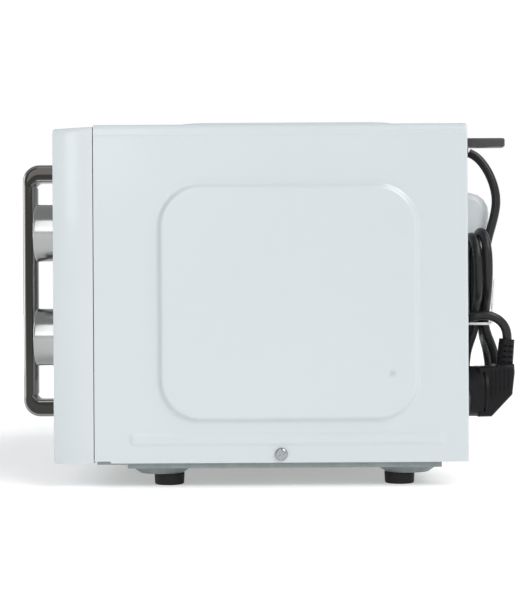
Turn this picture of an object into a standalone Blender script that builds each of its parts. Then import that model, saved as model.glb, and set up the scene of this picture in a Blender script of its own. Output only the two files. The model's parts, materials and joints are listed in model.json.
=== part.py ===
"""Countertop microwave oven as separate pieces. Millimetres below, metres in the scene.

The front faces -Y, up is +Z, and +X is the control side. The origin is at the middle of the footprint.
"""

import math

import bmesh
import bpy
from mathutils import Matrix, Vector

MM = 0.001

# Overall sizes
HALF_W = 220.0
CAB_Z0 = 17.5
CAB_Z1 = 258.5
FRONT_Y = -143.3
SEAM_Y = -114.3
REAR_Y = 151.7
SHEET = 1.0
GAP = 0.3
WALL = 2.5

# Rear panel, set inside the wrapper
PANEL_IN = 132.7
PANEL_OUT = 133.7

# Cavity
CAV_X0 = -209.0
CAV_X1 = 90.0
CAV_Z0 = 31.0
CAV_Z1 = 239.0
CAV_Y0 = -112.6
CAV_Y1 = 130.0
TURN_X = 0.5 * (CAV_X0 + CAV_X1)
TURN_Y = 8.5
LAMP_Y = -62.0
LAMP_Z = 215.0

# Door and control panel
DOOR_X0 = -218.6
DOOR_X1 = 113.5
PANEL_X0 = 114.5
MOULD_BACK = SEAM_Y - 0.6
HINGE_X = -212.6
HINGE_Y = -122.3

# Handle
HANDLE_X = 100.0
HANDLE_W = 24.0
HANDLE_FRONT = -182.3
HANDLE_Z0 = 42.6
HANDLE_Z1 = 239.7
HANDLE_LEG = 13.2
HANDLE_SCREW_Z = {"lower": HANDLE_Z0 + HANDLE_LEG / 2, "upper": HANDLE_Z1 - HANDLE_LEG / 2}

# Knobs
KNOB_X = 167.0
KNOB_Z = {"power": 183.6, "timer": 106.3}
KNOB_R = 21.2
KNOB_BACK = FRONT_Y - 0.8
KNOB_FRONT = -162.7
SHAFT_R = 3.0

# Fan and its motor
FAN_X = 135.0
FAN_Z = 163.0
FAN_R = 36.0

# Pan and feet
PAN_Z = 13.6
BOSS_Z = 8.6
FOOT_X = 195.0
FOOT_Y = {"front": -62.8, "rear": 104.2}

# Cord, plug and the folded hank
CORD_D = 6.6
GLAND_Z = 242.0
PLUG_X = 197.5
PLUG_Z = 66.2
PLUG_FACE = 153.6
PLUG_R = 18.2

MATERIALS = {
    "white_paint": ((0.83, 0.85, 0.86, 1.0), 0.0, 0.35),
    "white_plastic": ((0.86, 0.87, 0.87, 1.0), 0.0, 0.25),
    "zinc_sheet": ((0.55, 0.57, 0.58, 1.0), 1.0, 0.4),
    "chrome": ((0.75, 0.76, 0.77, 1.0), 1.0, 0.06),
    "dark_glass": ((0.03, 0.03, 0.035, 1.0), 0.0, 0.05),
    "mesh_sheet": ((0.09, 0.09, 0.1, 1.0), 0.3, 0.4),
    "grey_plastic": ((0.45, 0.46, 0.47, 1.0), 0.0, 0.5),
    "black_plastic": ((0.05, 0.05, 0.05, 1.0), 0.0, 0.45),
    "black_rubber": ((0.03, 0.03, 0.03, 1.0), 0.0, 0.8),
    "clear_glass": ((0.75, 0.82, 0.82, 0.4), 0.0, 0.05),
    "mica": ((0.6, 0.57, 0.5, 1.0), 0.0, 0.7),
    "core_steel": ((0.3, 0.3, 0.32, 1.0), 0.8, 0.5),
    "copper_wire": ((0.6, 0.28, 0.12, 1.0), 0.7, 0.4),
    "aluminium": ((0.75, 0.76, 0.78, 1.0), 1.0, 0.35),
    "green_board": ((0.05, 0.25, 0.1, 1.0), 0.0, 0.5),
    "screw_steel": ((0.6, 0.6, 0.6, 1.0), 1.0, 0.3),
    "cord_pvc": ((0.06, 0.06, 0.065, 1.0), 0.0, 0.5),
    "white_tie": ((0.85, 0.85, 0.85, 1.0), 0.0, 0.5),
}

PARTS = bpy.data.collections.new("microwave_oven")
CUTTERS = bpy.data.collections.new("cutters")


def clear_scene():
    for obj in list(bpy.data.objects):
        bpy.data.objects.remove(obj, do_unlink=True)
    for mesh in list(bpy.data.meshes):
        bpy.data.meshes.remove(mesh)
    bpy.context.scene.collection.children.link(PARTS)
    bpy.context.scene.collection.children.link(CUTTERS)


def material(slot):
    found = bpy.data.materials.get(slot)
    if found:
        return found
    color, metallic, roughness = MATERIALS[slot]
    made = bpy.data.materials.new(slot)
    made.use_nodes = True
    shader = made.node_tree.nodes["Principled BSDF"]
    shader.inputs["Base Color"].default_value = color
    shader.inputs["Metallic"].default_value = metallic
    shader.inputs["Roughness"].default_value = roughness
    return made


def from_bmesh(name, bm):
    mesh = bpy.data.meshes.new(name)
    bm.to_mesh(mesh)
    bm.free()
    return bpy.data.objects.new(name, mesh)


def box_bmesh(lo, hi):
    """A box between two corners in millimetres."""
    bm = bmesh.new()
    bmesh.ops.create_cube(bm, size=1.0)
    size = Vector(hi) - Vector(lo)
    middle = (Vector(hi) + Vector(lo)) / 2
    bmesh.ops.transform(bm, matrix=Matrix.Diagonal(size * MM).to_4x4(), verts=bm.verts)
    bmesh.ops.translate(bm, vec=middle * MM, verts=bm.verts)
    return bm


def box(name, lo, hi):
    return from_bmesh(name, box_bmesh(lo, hi))


def boxes(name, pairs):
    """Several separate boxes in one mesh, for a tool that cuts a row of slots."""
    whole = bmesh.new()
    for lo, hi in pairs:
        piece = box_bmesh(lo, hi)
        mesh = bpy.data.meshes.new("piece")
        piece.to_mesh(mesh)
        piece.free()
        whole.from_mesh(mesh)
        bpy.data.meshes.remove(mesh)
    return from_bmesh(name, whole)


def round_edges(obj, pick, radius, segments=3):
    """Rounds the edges whose middle and direction, in millimetres, the test picks."""
    bm = bmesh.new()
    bm.from_mesh(obj.data)
    chosen = []
    for edge in bm.edges:
        a, b = (v.co / MM for v in edge.verts)
        if pick((a + b) / 2, (b - a).normalized()):
            chosen.append(edge)
    bmesh.ops.bevel(
        bm, geom=chosen, offset=radius * MM, segments=segments, profile=0.5, affect="EDGES", clamp_overlap=True
    )
    bm.to_mesh(obj.data)
    bm.free()
    return obj


def along(axis):
    """Picks the edges that run along one axis."""
    index = "XYZ".index(axis)
    return lambda middle, direction: abs(direction[index]) > 0.999


TURN = {
    "X": Matrix(((0, 0, 1), (1, 0, 0), (0, 1, 0))).to_4x4(),
    "Y": Matrix(((0, 1, 0), (0, 0, 1), (1, 0, 0))).to_4x4(),
    "Z": Matrix.Identity(4),
}


def cylinder(name, centre, axis, radius, length, segments=24, top=None):
    """A cylinder or cone along an axis, its middle at centre; top is the radius at the far end."""
    bm = bmesh.new()
    bmesh.ops.create_cone(
        bm,
        cap_ends=True,
        segments=segments,
        radius1=radius * MM,
        radius2=(radius if top is None else top) * MM,
        depth=length * MM,
    )
    place = Matrix.Translation(Vector(centre) * MM) @ TURN[axis]
    bmesh.ops.transform(bm, matrix=place, verts=bm.verts)
    return from_bmesh(name, bm)


def solid_from_curve(name, curve):
    """The mesh of a curve with its caps welded."""
    holder = bpy.data.objects.new(name + "_curve", curve)
    bpy.context.scene.collection.objects.link(holder)
    bpy.context.view_layer.update()
    evaluated = holder.evaluated_get(bpy.context.evaluated_depsgraph_get())
    mesh = bpy.data.meshes.new_from_object(evaluated)
    bpy.data.objects.remove(holder, do_unlink=True)
    bpy.data.curves.remove(curve)
    bm = bmesh.new()
    bm.from_mesh(mesh)
    bmesh.ops.remove_doubles(bm, verts=bm.verts, dist=0.00002)
    bmesh.ops.recalc_face_normals(bm, faces=bm.faces)
    for face in bm.faces:
        face.smooth = False
    bpy.data.meshes.remove(mesh)
    return from_bmesh(name, bm)


def slab(name, outline, axis, low, high, chamfer=0.0, steps=0):
    """An outline in millimetres, extruded from low to high along an axis, with chamfered or rounded rims.

    The outline is in (Y, Z) for axis X, in (Z, X) for axis Y and in (X, Y) for axis Z.
    """
    curve = bpy.data.curves.new(name, "CURVE")
    curve.dimensions = "2D"
    curve.fill_mode = "BOTH"
    curve.extrude = ((high - low) / 2 - chamfer) * MM
    curve.bevel_depth = chamfer * MM
    curve.bevel_resolution = steps
    curve.offset = -chamfer * MM
    spline = curve.splines.new("POLY")
    spline.points.add(len(outline) - 1)
    for point, (a, b) in zip(spline.points, outline):
        point.co = (a * MM, b * MM, 0.0, 1.0)
    spline.use_cyclic_u = True
    made = solid_from_curve(name, curve)
    shift = Vector((0.0, 0.0, 0.0))
    shift["XYZ".index(axis)] = (low + high) / 2 * MM
    made.data.transform(Matrix.Translation(shift) @ TURN[axis])
    return made


def arc(centre, radius, start, end, steps):
    """Points on an arc, angles in degrees."""
    points = []
    for i in range(steps + 1):
        angle = math.radians(start + (end - start) * i / steps)
        points.append((centre[0] + radius * math.cos(angle), centre[1] + radius * math.sin(angle)))
    return points


def rounded(a0, b0, a1, b1, radius, steps=5):
    """The outline of a rectangle with rounded corners."""
    points = arc((a1 - radius, b0 + radius), radius, -90, 0, steps)
    points += arc((a1 - radius, b1 - radius), radius, 0, 90, steps)
    points += arc((a0 + radius, b1 - radius), radius, 90, 180, steps)
    points += arc((a0 + radius, b0 + radius), radius, 180, 270, steps)
    return points


def turned(name, profile, centre, axis, steps=32):
    """A profile of (radius, height) in millimetres turned round an axis through centre."""
    bm = bmesh.new()
    rows = [bm.verts.new((r * MM, 0.0, h * MM)) for r, h in profile]
    edges = [bm.edges.new((a, b)) for a, b in zip(rows, rows[1:])]
    mesh = bpy.data.meshes.new(name)
    bm.to_mesh(mesh)
    bm.free()
    obj = bpy.data.objects.new(name, mesh)
    screw = obj.modifiers.new("turn", "SCREW")
    screw.axis = "Z"
    screw.angle = math.tau
    screw.steps = steps
    screw.render_steps = steps
    screw.use_merge_vertices = True
    screw.merge_threshold = 0.00001
    screw.use_normal_calculate = True
    bpy.context.scene.collection.objects.link(obj)
    bpy.context.view_layer.update()
    evaluated = obj.evaluated_get(bpy.context.evaluated_depsgraph_get())
    solid = bpy.data.meshes.new_from_object(evaluated)
    bpy.data.objects.remove(obj, do_unlink=True)
    bpy.data.meshes.remove(mesh)
    bm = bmesh.new()
    bm.from_mesh(solid)
    bmesh.ops.remove_doubles(bm, verts=bm.verts, dist=0.00001)
    bmesh.ops.recalc_face_normals(bm, faces=bm.faces)
    bpy.data.meshes.remove(solid)
    made = from_bmesh(name, bm)
    made.data.transform(Matrix.Translation(Vector(centre) * MM) @ TURN[axis])
    return made


def tube(name, points, diameter):
    """A round tube with closed ends along a route in millimetres."""
    curve = bpy.data.curves.new(name, "CURVE")
    curve.dimensions = "3D"
    curve.bevel_depth = diameter / 2 * MM
    curve.bevel_resolution = 2
    curve.use_fill_caps = True
    spline = curve.splines.new("POLY")
    spline.points.add(len(points) - 1)
    for point, place in zip(spline.points, points):
        point.co = (*(Vector(place) * MM), 1.0)
    return solid_from_curve(name, curve)


def smooth_route(knots, each):
    """Points on a smooth curve through the knots, with a number of steps to each span."""
    ends = [2 * Vector(knots[0]) - Vector(knots[1])] + [Vector(k) for k in knots]
    ends.append(2 * Vector(knots[-1]) - Vector(knots[-2]))
    points = []
    for p0, p1, p2, p3 in zip(ends, ends[1:], ends[2:], ends[3:]):
        for i in range(each):
            t = i / each
            linear = (p2 - p0) * t
            square = (2 * p0 - 5 * p1 + 4 * p2 - p3) * t * t
            cube = (3 * p1 - p0 - 3 * p2 + p3) * t ** 3
            points.append(p1 + 0.5 * (linear + square + cube))
    points.append(ends[-2])
    return points


def combine(obj, tool, operation):
    tool.hide_render = True
    tool.display_type = "WIRE"
    tool.name = "tool_" + obj.name
    CUTTERS.objects.link(tool)
    modifier = obj.modifiers.new(operation.lower(), "BOOLEAN")
    modifier.operation = operation
    modifier.solver = "EXACT"
    modifier.object = tool
    return obj


def cut(obj, *tools):
    for tool in tools:
        combine(obj, tool, "DIFFERENCE")
    return obj


def add(obj, *tools):
    for tool in tools:
        combine(obj, tool, "UNION")
    return obj


def finish(obj, slot, origin=None, smooth=False):
    """Puts a piece in the collection with its material, and its origin where it turns or slides."""
    PARTS.objects.link(obj)
    obj.data.materials.clear()
    obj.data.materials.append(material(slot))
    if origin is not None:
        place = Vector(origin) * MM
        obj.data.transform(Matrix.Translation(-place))
        obj.location = place
    if smooth:
        for face in obj.data.polygons:
            face.use_smooth = True
        obj.data.set_sharp_from_angle(angle=math.radians(35))
    return obj


# The case


def wrapper():
    y0, y1 = SEAM_Y, REAR_Y
    case = box("cabinet", (-HALF_W, y0, CAB_Z0), (HALF_W, y1, CAB_Z1))
    round_edges(case, lambda m, d: abs(d.y) > 0.9 and m.z > 200, 6.0, 4)
    inner = box("inner", (SHEET - HALF_W, y0 - 20, -20), (HALF_W - SHEET, y1 + 20, CAB_Z1 - SHEET))
    round_edges(inner, lambda m, d: abs(d.y) > 0.9 and m.z > 200, 5.0, 4)
    side = rounded(-69.3, 46.0, 117.3, 216.0, 31.0, 6)
    bead = rounded(-89.9, 28.9, 134.5, 39.5, 4.0, 4)
    top = rounded(-175.0, -66.0, 175.0, 115.0, 30.0, 6)
    hollows = [inner]
    for sign in (-1, 1):
        far = sign * (HALF_W + 3.0)
        low, high = sorted((far - sign * 12, far))
        add(case, slab("pad", side, "X", low, high, 3.2))
        hollows.append(slab("pad", side, "X", low - sign * SHEET, high - sign * SHEET, 3.2))
        far = sign * (HALF_W + 0.8)
        low, high = sorted((far - sign * 5, far))
        add(case, slab("bead", bead, "X", low, high, 0.8))
    add(case, slab("pad", top, "Z", CAB_Z1 - 12, CAB_Z1 + 6.5, 6.0))
    hollows.append(slab("pad", top, "Z", CAB_Z1 - 13, CAB_Z1 + 5.5, 6.0))
    cut(case, *hollows)
    for sign in (-1, 1):
        cut(case, cylinder("hole", (sign * HALF_W, 18.3, 23.6), "X", 2.5, 10, 16))
    finish(case, "white_paint")


def boss(name, x, end, bottom, r_bottom, r_top):
    """A shallow oval cone pressed down round a foot and towards the end of the pan."""
    shift = -5.3 if end == "front" else 5.3
    cone = cylinder(name, (0, 0, bottom + 3.0), "Z", r_bottom, 6.0, 32, r_top)
    place = Matrix.Translation(Vector((x, FOOT_Y[end] + shift, 0)) * MM)
    cone.data.transform(place @ Matrix.Diagonal((1.0, 1.127, 1.0, 1.0)))
    return cone


def base_plate():
    """A stepped pan with four pressed bosses for the feet."""
    half = HALF_W - SHEET - GAP
    pan = box("base_plate", (-half, CAV_Y0, 16.5), (half, PANEL_IN - GAP, 29.0))
    add(pan, box("lower", (1.2 - half, -91, PAN_Z), (half - 1.2, PANEL_IN - GAP, 17.5)))
    hollows = [
        box("upper", (SHEET - half, CAV_Y0 + SHEET, 17.5), (half - SHEET, PANEL_IN - GAP - SHEET, 40)),
        box("pit", (2.2 - half, -90, PAN_Z + SHEET), (half - 2.2, PANEL_IN - GAP - SHEET, 20)),
    ]
    for x in (-FOOT_X, FOOT_X):
        for end, y in FOOT_Y.items():
            add(pan, boss("boss", x, end, BOSS_Z, 14.2, 22.0))
            hollows.append(boss("dish", x, end, BOSS_Z + 1.1, 13.2, 21.0))
            hollows.append(cylinder("hole", (x, y, BOSS_Z + 1.5), "Z", 3.3, 8, 12))
    cut(pan, *hollows)
    for sign in (-1, 1):
        cut(pan, cylinder("hole", (sign * half, 18.3, 23.6), "X", 2.5, 10, 16))
    vents = []
    for i in range(6):
        x = 120 + 14 * i
        vents.append(((x, -30, 5), (x + 5, 10, 20)))
    cut(pan, boxes("vents", vents))
    finish(pan, "zinc_sheet")


def foot(name, x, y):
    """A rubber foot with the neck that holds it in its boss."""
    top = BOSS_Z - GAP
    profile = [(0, top + 3.4), (4.6, top + 3.4), (4.6, top + 1.6), (3.0, top + 1.4), (3.0, top), (11.0, top)]
    profile += [(10.6, 0.6), (10.0, 0), (0, 0)]
    finish(turned(name, profile, (x, y, 0), "Z", 24), "black_rubber", smooth=True)


def feet():
    for side, x in (("left", -FOOT_X), ("right", FOOT_X)):
        for end, y in FOOT_Y.items():
            foot(f"foot_{end}_{side}", x, y)


def bulge_outline(inset):
    """The side outline of the pressed cover over the fan motor."""
    back = 175.4 - inset
    points = [(126.0, 213.0 - inset), (157.0, 213.0 - inset)]
    points += arc((back - 15.5, 197.0 - inset), 15.5, 84, 0, 4)
    points += [(back - 1.8, 175.0), (back - 8.0, 140.0), (back - 14.0, 118.0 + inset)]
    points += [(back - 20.0, 111.0 + inset), (126.0, 110.0 + inset)]
    return points


def rear_panel():
    half = HALF_W - SHEET - GAP
    panel = box("rear_panel", (-half, PANEL_IN, 17.8), (half, PANEL_OUT, CAB_Z1 - SHEET - GAP))
    round_edges(panel, lambda m, d: abs(d.y) > 0.9 and m.z > 200, 5.0, 4)
    add(panel, slab("bulge", bulge_outline(0), "X", FAN_X - 31, FAN_X + 31, 6.0, 2))
    hollow = slab("hollow", bulge_outline(1.0), "X", FAN_X - 30, FAN_X + 30, 6.0, 2)
    front = box("front", (FAN_X - 60, 100, 90), (FAN_X + 60, PANEL_IN, 240))
    cut(panel, hollow, front)
    slots = []
    for row in range(5):
        z = 60 + 8 * row
        slots.append(((108, 120, z), (162, 140, z + 3)))
    for row in range(7):
        z = 190 + 7 * row
        slots.append(((-160, 120, z), (-100, 140, z + 3)))
    cut(panel, boxes("vents", slots))
    cut(panel, cylinder("hole", (165, PANEL_IN, GLAND_Z), "Y", 6.3, 10, 20))
    cut(panel, cylinder("hole", (198, PANEL_IN, 245.8), "Y", 2.3, 10, 16))
    finish(panel, "white_paint")


def rear_spacer():
    """A bar that keeps the back of the oven off the wall."""
    outline = rounded(192, PANEL_OUT + GAP, 204, 181.0, 2.5, 3)
    bar = slab("rear_spacer", outline, "Z", 242.6, 248.9, 0.8)
    add(bar, cylinder("stem", (198, 133.0, 245.8), "Y", 2.0, 8, 16))
    finish(bar, "grey_plastic")


def side_screws():
    for name, sign in (("side_screw_right", 1), ("side_screw_left", -1)):
        rim = HALF_W + GAP
        profile = [(0, 2.4), (2.2, 2.2), (3.8, 1.4), (4.5, 0.4), (4.5, 0), (2.0, 0), (2.0, -6.0), (0, -6.0)]
        screw = turned(name, profile, (0, 0, 0), "Z", 20)
        turn = Matrix.Translation(Vector((sign * rim, 18.3, 23.6)) * MM)
        turn = turn @ Matrix.Rotation(sign * math.pi / 2, 4, "Y")
        screw.data.transform(turn)
        for long, short in ((2.3, 0.45), (0.45, 2.3)):
            slot = box("slot", (-long, -short, 1.2), (long, short, 5))
            slot.data.transform(turn)
            cut(screw, slot)
        finish(screw, "screw_steel")


# The cooking space


def cavity():
    shell = box("cavity", (CAV_X0, CAV_Y0, CAV_Z0), (CAV_X1, CAV_Y1, CAV_Z1))
    inner = box(
        "inner",
        (CAV_X0 + SHEET, CAV_Y0 - 10, CAV_Z0 + SHEET),
        (CAV_X1 - SHEET, CAV_Y1 - SHEET, CAV_Z1 - SHEET),
    )
    round_edges(inner, along("Y"), 8.0, 2)
    cut(shell, inner)
    cut(shell, box("port", (CAV_X1 - 10, -36, 114), (CAV_X1 + 10, 24, 186)))
    cut(shell, cylinder("hole", (TURN_X, TURN_Y, CAV_Z0), "Z", 5.0, 10, 16))
    vents = []
    for row in range(5):
        z = 120 + 8 * row
        vents.append(((CAV_X1 - 10, 60, z), (CAV_X1 + 10, 95, z + 3)))
    for row in range(5):
        z = 192 + 8 * row
        vents.append(((-150, CAV_Y1 - 10, z), (-110, CAV_Y1 + 10, z + 3)))
    cut(shell, boxes("vents", vents))
    cut(shell, cylinder("hole", (CAV_X1, LAMP_Y, LAMP_Z), "X", 9.0, 10, 20))
    finish(shell, "white_paint")


def front_plate():
    """The flat steel face round the cooking space, with the two slots for the latch hooks."""
    y0 = SEAM_Y + 0.4
    plate = box("front_plate", (-218.7, y0, 30.0), (128, y0 + SHEET, 257.2))
    round_edges(plate, lambda m, d: abs(d.y) > 0.9 and m.z > 200 and m.x < 0, 5.0, 4)
    add(plate, box("lower", (-218.7, y0, 18.6), (128, y0 + SHEET, 31.0)))
    cut(plate, box("mouth", (CAV_X0 + 1, y0 - 10, CAV_Z0 + 1), (CAV_X1 - 1, y0 + 10, CAV_Z1 - 1)))
    slots = [((101.0, y0 - 5, z - 9), (109.0, y0 + 5, z + 9)) for z in (70, 206)]
    cut(plate, boxes("slots", slots))
    finish(plate, "white_paint")


def waveguide():
    guide = box("waveguide", (CAV_X1 + GAP, -50, 100), (114, 40, 200))
    cut(guide, box("inner", (CAV_X1 - 5, -49, 101), (113, 39, 199)))
    cut(guide, cylinder("hole", (114, -2, 150), "X", 12.0, 6, 24))
    finish(guide, "zinc_sheet")
    sheet = box("waveguide_cover", (CAV_X1 - 2.6, -42, 108), (CAV_X1 - 1.3, 30, 192))
    finish(sheet, "mica")


def magnetron():
    """The tube with its cooling fins, antenna and filter box."""
    body = box("magnetron", (114.3, -50, 104), (116.3, 46, 196))
    add(body, box("frame", (116.0, -42, 110), (166, 38, 190)))
    cut(body, boxes("air", [((120, -60, z), (162, 60, z + 5.0)) for z in range(116, 184, 9)]))
    add(body, cylinder("anode", (141, -2, 150), "X", 18.0, 46, 20))
    add(body, cylinder("antenna", (107, -2, 150), "X", 8.0, 16, 16))
    add(body, box("filter", (165.5, -32, 118), (198, 28, 182)))
    finish(body, "aluminium")


def waveguide_side():
    waveguide()
    magnetron()


def roller_set():
    """The ring that carries the tray, and its three wheels."""
    centre = (TURN_X, TURN_Y, 0)
    ring = turned("roller_ring", [(86, 36.6), (86, 42.0), (80, 42.0), (80, 36.6), (86, 36.6)], centre, "Z", 48)
    for i in range(3):
        angle = math.radians(90 + 120 * i)
        turn = Matrix.Translation(Vector((TURN_X, TURN_Y, 39.3)) * MM) @ Matrix.Rotation(angle, 4, "Z")
        axle = cylinder("axle", (91.0, 0, 0), "X", 2.0, 14.0, 12)
        axle.data.transform(turn)
        add(ring, axle)
        profile = [(7.0, -2.6), (7.0, 2.6), (2.3, 2.6), (2.3, -2.6), (7.0, -2.6)]
        wheel = turned(f"roller_{i + 1}", profile, (91.5, 0, 0), "X", 20)
        wheel.data.transform(turn)
        middle = turn @ Vector((91.5 * MM, 0, 0))
        finish(wheel, "grey_plastic", origin=middle / MM, smooth=True)
    finish(ring, "grey_plastic", origin=centre)


def turntable():
    centre = (TURN_X, TURN_Y, 0)
    profile = [(0, 51.4), (97, 51.4), (105, 57.5), (113, 60.0), (114, 58.0), (101, 47.4), (98, 46.6), (0, 46.6)]
    finish(turned("glass_tray", profile, centre, "Z", 48), "clear_glass", origin=centre, smooth=True)
    profile = [(0, 46.3), (9, 46.3), (14, 42.5), (14, 34.0), (6.0, 34.0), (4.0, 32.0), (3.0, 30.0), (3.0, 22.0)]
    finish(turned("coupler", profile + [(0, 22.0)], centre, "Z", 24), "white_plastic", origin=centre, smooth=True)
    motor = cylinder("turntable_motor", (TURN_X, TURN_Y, 22.2), "Z", 24.5, 14.0, 28)
    add(motor, box("ears", (TURN_X - 33, TURN_Y - 5, 27.8), (TURN_X + 33, TURN_Y + 5, 29.0)))
    add(motor, box("plug", (TURN_X - 8, TURN_Y + 20, 18), (TURN_X + 8, TURN_Y + 34, 26)))
    cut(motor, cylinder("bore", (TURN_X, TURN_Y, 25.6), "Z", 3.3, 8, 16))
    finish(motor, "aluminium")
    roller_set()


def lamp():
    """The bulb that shines through a hole in the side of the cavity, on its bracket."""
    profile = [(0, 7), (5, 9.5), (7.5, 15), (7.5, 20), (5.5, 24), (5.5, 28), (11, 28), (11, 40), (0, 40)]
    bulb = turned("lamp", profile, (CAV_X1, LAMP_Y, LAMP_Z), "X", 20)
    add(bulb, box("arm", (CAV_X1 + 30, LAMP_Y - 8, 202), (CAV_X1 + 32, LAMP_Y + 8, 222)))
    add(bulb, box("toe", (CAV_X1 + GAP, LAMP_Y - 8, 202), (CAV_X1 + 32, LAMP_Y + 8, 203)))
    finish(bulb, "grey_plastic")


def thermal_cutout():
    unit = box("thermal_cutout", (48, 54, CAV_Z1 + GAP), (76, 68, CAV_Z1 + 1.6))
    add(unit, cylinder("can", (62, 61, CAV_Z1 + 5), "Z", 7.5, 8, 20))
    add(unit, box("tabs", (55, 60.4, CAV_Z1 + 8), (69, 61.6, CAV_Z1 + 14)))
    finish(unit, "black_plastic")


# Power parts in the compartment behind the controls


def transformer():
    core = box("transformer_core", (108, -50, 14.9), (188, 14, 79.3))
    cut(core, boxes("windows", [((120, -60, 28), (136, 20, 66)), ((160, -60, 28), (176, 20, 66))]))
    finish(core, "core_steel")
    coil = box("transformer_coil", (120.3, -64, 28.3), (175.7, 28, 65.7))
    round_edges(coil, along("Z"), 8.0, 3)
    cut(coil, box("limb", (135.7, -50.3, 10), (160.3, 14.3, 90)))
    finish(coil, "copper_wire")


def capacitor():
    can = box("capacitor", (112, 44, 16.2), (200, 76, 66))
    round_edges(can, along("X"), 13.0, 4)
    add(can, boxes("tabs", [((199, 54, 48), (207, 55, 54)), ((199, 64, 48), (207, 65, 54))]))
    finish(can, "aluminium")
    clamp = box("capacitor_clamp", (148, 42.7, 14.9), (160, 77.3, 67.3))
    inner = box("inner", (140, 43.7, 15.9), (170, 76.3, 66.3))
    round_edges(inner, along("X"), 13.0, 4)
    cut(clamp, inner)
    finish(clamp, "zinc_sheet")


def fan():
    shroud = box("fan_shroud", (FAN_X - 43, 101, FAN_Z - 43), (FAN_X + 43, 119, FAN_Z + 43))
    cut(shroud, cylinder("duct", (FAN_X, 110, FAN_Z), "Y", FAN_R + 2.5, 30, 36))
    finish(shroud, "grey_plastic")
    motor = box("fan_motor", (FAN_X - 41, 119.3, FAN_Z - 7), (FAN_X + 41, 121.0, FAN_Z + 7))
    add(motor, cylinder("boss", (FAN_X, 126, FAN_Z), "Y", 9.0, 12, 20))
    add(motor, box("stack", (FAN_X - 22, 128, FAN_Z - 22), (FAN_X + 22, 146, FAN_Z + 26)))
    add(motor, box("winding", (FAN_X - 12, 122.5, FAN_Z + 10), (FAN_X + 12, 152, FAN_Z + 22)))
    cut(motor, cylinder("bore", (FAN_X, 124, FAN_Z), "Y", 2.3, 14, 16))
    finish(motor, "core_steel")
    blade = cylinder("fan_blade", (FAN_X, 109.5, FAN_Z), "Y", 9.0, 13, 20)
    for i in range(5):
        wing = box("wing", (6.0, -0.8, -9.5), (FAN_R, 0.8, 9.5))
        place = Matrix.Translation(Vector((FAN_X, 109.5, FAN_Z)) * MM)
        place = place @ Matrix.Rotation(math.tau * i / 5, 4, "Y") @ Matrix.Rotation(math.radians(40), 4, "X")
        wing.data.transform(place)
        add(blade, wing)
    add(blade, cylinder("shaft", (FAN_X, 121.5, FAN_Z), "Y", 2.0, 13, 12))
    finish(blade, "grey_plastic", origin=(FAN_X, 109.5, FAN_Z))


def air_duct():
    """The duct that leads the fan's air over the magnetron."""
    duct = box("air_duct", (96, 50, FAN_Z - 41), (FAN_X + 42, 100.5, FAN_Z + 41))
    cut(duct, box("inner", (97.5, 40, FAN_Z - 39.5), (FAN_X + 40.5, 110, FAN_Z + 39.5)))
    finish(duct, "grey_plastic")


def filter_board():
    top = FAN_Z + 41 + GAP
    board = box("filter_board", (102, 54, top + 6), (172, 96, top + 7.6))
    legs = [((x, y, top), (x + 3, y + 3, top + 7)) for x in (104, 167) for y in (56, 91)]
    for lo, hi in legs:
        add(board, box("leg", lo, hi))
    add(board, cylinder("coil", (118, 75, top + 12), "Z", 10, 12, 20))
    add(board, box("block", (134, 66, top + 7), (150, 84, top + 20)))
    add(board, cylinder("fuse", (161, 75, top + 10.5), "Y", 3.0, 26, 12))
    finish(board, "green_board")


# Controls


def control_unit(name, z, height):
    """The box of gears or contacts behind a knob."""
    unit = box(name, (141, -140.3, z - height / 2), (193, -96, z + height / 2))
    round_edges(unit, along("Y"), 3.0, 2)
    add(unit, box("plate", (136, -127, z - 16), (198, -125, z + 16)))
    add(unit, boxes("tabs", [((150 + 12 * i, -97, z - 5), (156 + 12 * i, -89, z - 4)) for i in range(3)]))
    cut(unit, cylinder("bore", (KNOB_X, -138, z), "Y", SHAFT_R + 0.3, 20, 16))
    finish(unit, "grey_plastic")


def knob(kind):
    """A turned knob with its own shaft."""
    z = KNOB_Z[kind]
    centre = (KNOB_X, 0, z)
    y0, y1 = -KNOB_BACK, -KNOB_FRONT
    profile = [(3.3, y0), (KNOB_R, y0), (KNOB_R, y1 - 3.2), (KNOB_R - 0.9, y1 - 1.0), (KNOB_R - 3.0, y1)]
    profile += [(0, y1), (0, y0 + 14.0), (3.3, y0 + 14.0), (3.3, y0)]
    cap = turned(f"{kind}_knob", profile, (0, 0, 0), "Z", 40)
    cap.data.transform(Matrix.Translation(Vector(centre) * MM) @ Matrix.Rotation(math.pi / 2, 4, "X"))
    finish(cap, "chrome", origin=(KNOB_X, KNOB_BACK, z), smooth=True)
    shaft = cylinder(f"{kind}_shaft", (KNOB_X, (-129.0 + KNOB_BACK - 13.5) / 2, z), "Y", SHAFT_R, 28.6, 16)
    finish(shaft, "screw_steel", origin=(KNOB_X, KNOB_BACK, z), smooth=True)


def slope_top(obj, drop=1.7):
    """Lowers the front top edge, so the top of the front moulding falls forwards."""
    for vertex in obj.data.vertices:
        if vertex.co.z > 0.2:
            part = (MOULD_BACK - vertex.co.y / MM) / (MOULD_BACK - FRONT_Y)
            vertex.co.z -= drop * MM * part
    return obj


def moulding(name, x0, x1, z0, corner_x, corner_r):
    """A hollow front moulding, open at the back, with the large radius along one side of its top."""
    top = CAB_Z1 - 1.1
    body = box(name, (x0, FRONT_Y, z0), (x1, MOULD_BACK, top))
    slope_top(body)
    round_edges(body, lambda m, d: abs(d.y) > 0.9 and m.z > 200 and abs(m.x - corner_x) < 3, corner_r, 4)
    round_edges(body, lambda m, d: m.y < FRONT_Y + 0.01 and abs(d.y) < 0.1, 1.2, 2)
    return body


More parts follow.
